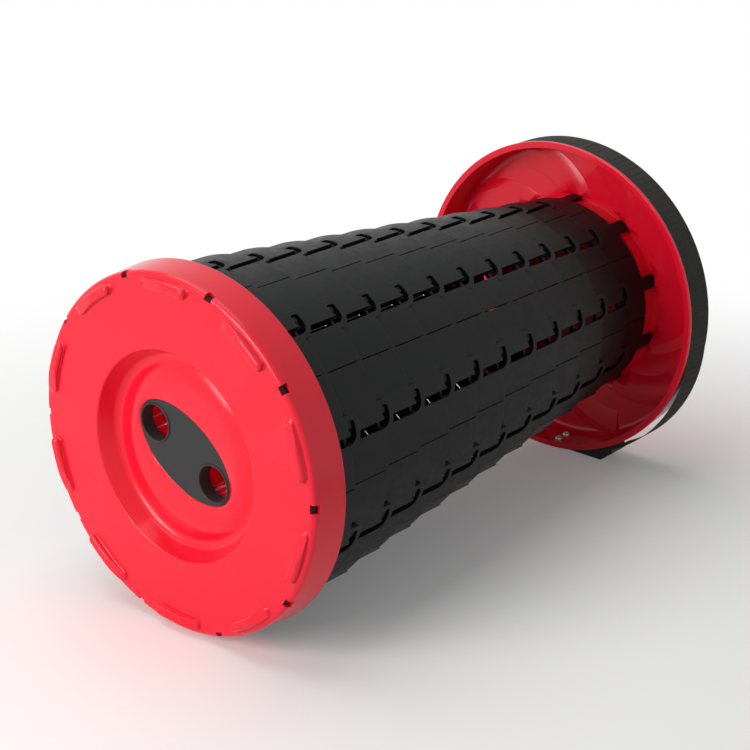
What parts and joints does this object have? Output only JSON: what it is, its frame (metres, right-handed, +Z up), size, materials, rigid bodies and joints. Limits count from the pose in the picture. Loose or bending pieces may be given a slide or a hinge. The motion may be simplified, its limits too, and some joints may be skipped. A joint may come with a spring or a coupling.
{
  "type": "telescopic folding stool",
  "caption": "Round plastic stool that folds flat: a red base and seat on a telescopic column of nested black rings with cane-shaped peg slots, and a webbing carry strap.",
  "frame": {"origin": "on the floor under the middle of the base", "axes": "+Z up the column from the base to the seat, +Y through a row of hooks, +X square to both"},
  "size_m": [0.2512, 0.2512, 0.45],
  "materials": {
    "red_shell": "smooth satin moulding",
    "black_ring": "satin moulding",
    "webbing": "woven, fine cross ribs",
    "screw_steel": "plain zinc"
  },
  "bodies": {
    "base": {"base_shell": "red_shell", "finger_plate": "black_ring", "ring_01": "black_ring"},
    "ring_02": {"ring_02": "black_ring"},
    "ring_03": {"ring_03": "black_ring"},
    "ring_04": {"ring_04": "black_ring"},
    "ring_05": {"ring_05": "black_ring"},
    "ring_06": {"ring_06": "black_ring"},
    "ring_07": {"ring_07": "black_ring"},
    "ring_08": {"ring_08": "black_ring"},
    "ring_09": {"ring_09": "black_ring"},
    "ring_10": {"ring_10": "black_ring"},
    "ring_11": {"ring_11": "black_ring"},
    "top": {"ring_12": "black_ring", "seat_shell": "red_shell", "carry_strap": "webbing", "strap_anchor": "black_ring", "strap_screws": "screw_steel"}
  },
  "joints": [
    {"name": "ring_02_slide", "type": "slide", "parent": "base", "child": "ring_02", "axis": [0, 0, 1], "range_m": [-0.035, 0]},
    {"name": "ring_03_slide", "type": "slide", "parent": "ring_02", "child": "ring_03", "axis": [0, 0, 1], "range_m": [-0.035, 0]},
    {"name": "ring_04_slide", "type": "slide", "parent": "ring_03", "child": "ring_04", "axis": [0, 0, 1], "range_m": [-0.035, 0]},
    {"name": "ring_05_slide", "type": "slide", "parent": "ring_04", "child": "ring_05", "axis": [0, 0, 1], "range_m": [-0.035, 0]},
    {"name": "ring_06_slide", "type": "slide", "parent": "ring_05", "child": "ring_06", "axis": [0, 0, 1], "range_m": [-0.035, 0]},
    {"name": "ring_07_slide", "type": "slide", "parent": "ring_06", "child": "ring_07", "axis": [0, 0, 1], "range_m": [-0.035, 0]},
    {"name": "ring_08_slide", "type": "slide", "parent": "ring_07", "child": "ring_08", "axis": [0, 0, 1], "range_m": [-0.035, 0]},
    {"name": "ring_09_slide", "type": "slide", "parent": "ring_08", "child": "ring_09", "axis": [0, 0, 1], "range_m": [-0.035, 0]},
    {"name": "ring_10_slide", "type": "slide", "parent": "ring_09", "child": "ring_10", "axis": [0, 0, 1], "range_m": [-0.035, 0]},
    {"name": "ring_11_slide", "type": "slide", "parent": "ring_10", "child": "ring_11", "axis": [0, 0, 1], "range_m": [-0.035, 0]},
    {"name": "seat_slide", "type": "slide", "parent": "ring_11", "child": "top", "axis": [0, 0, 1], "range_m": [-0.035, 0]}
  ]
}
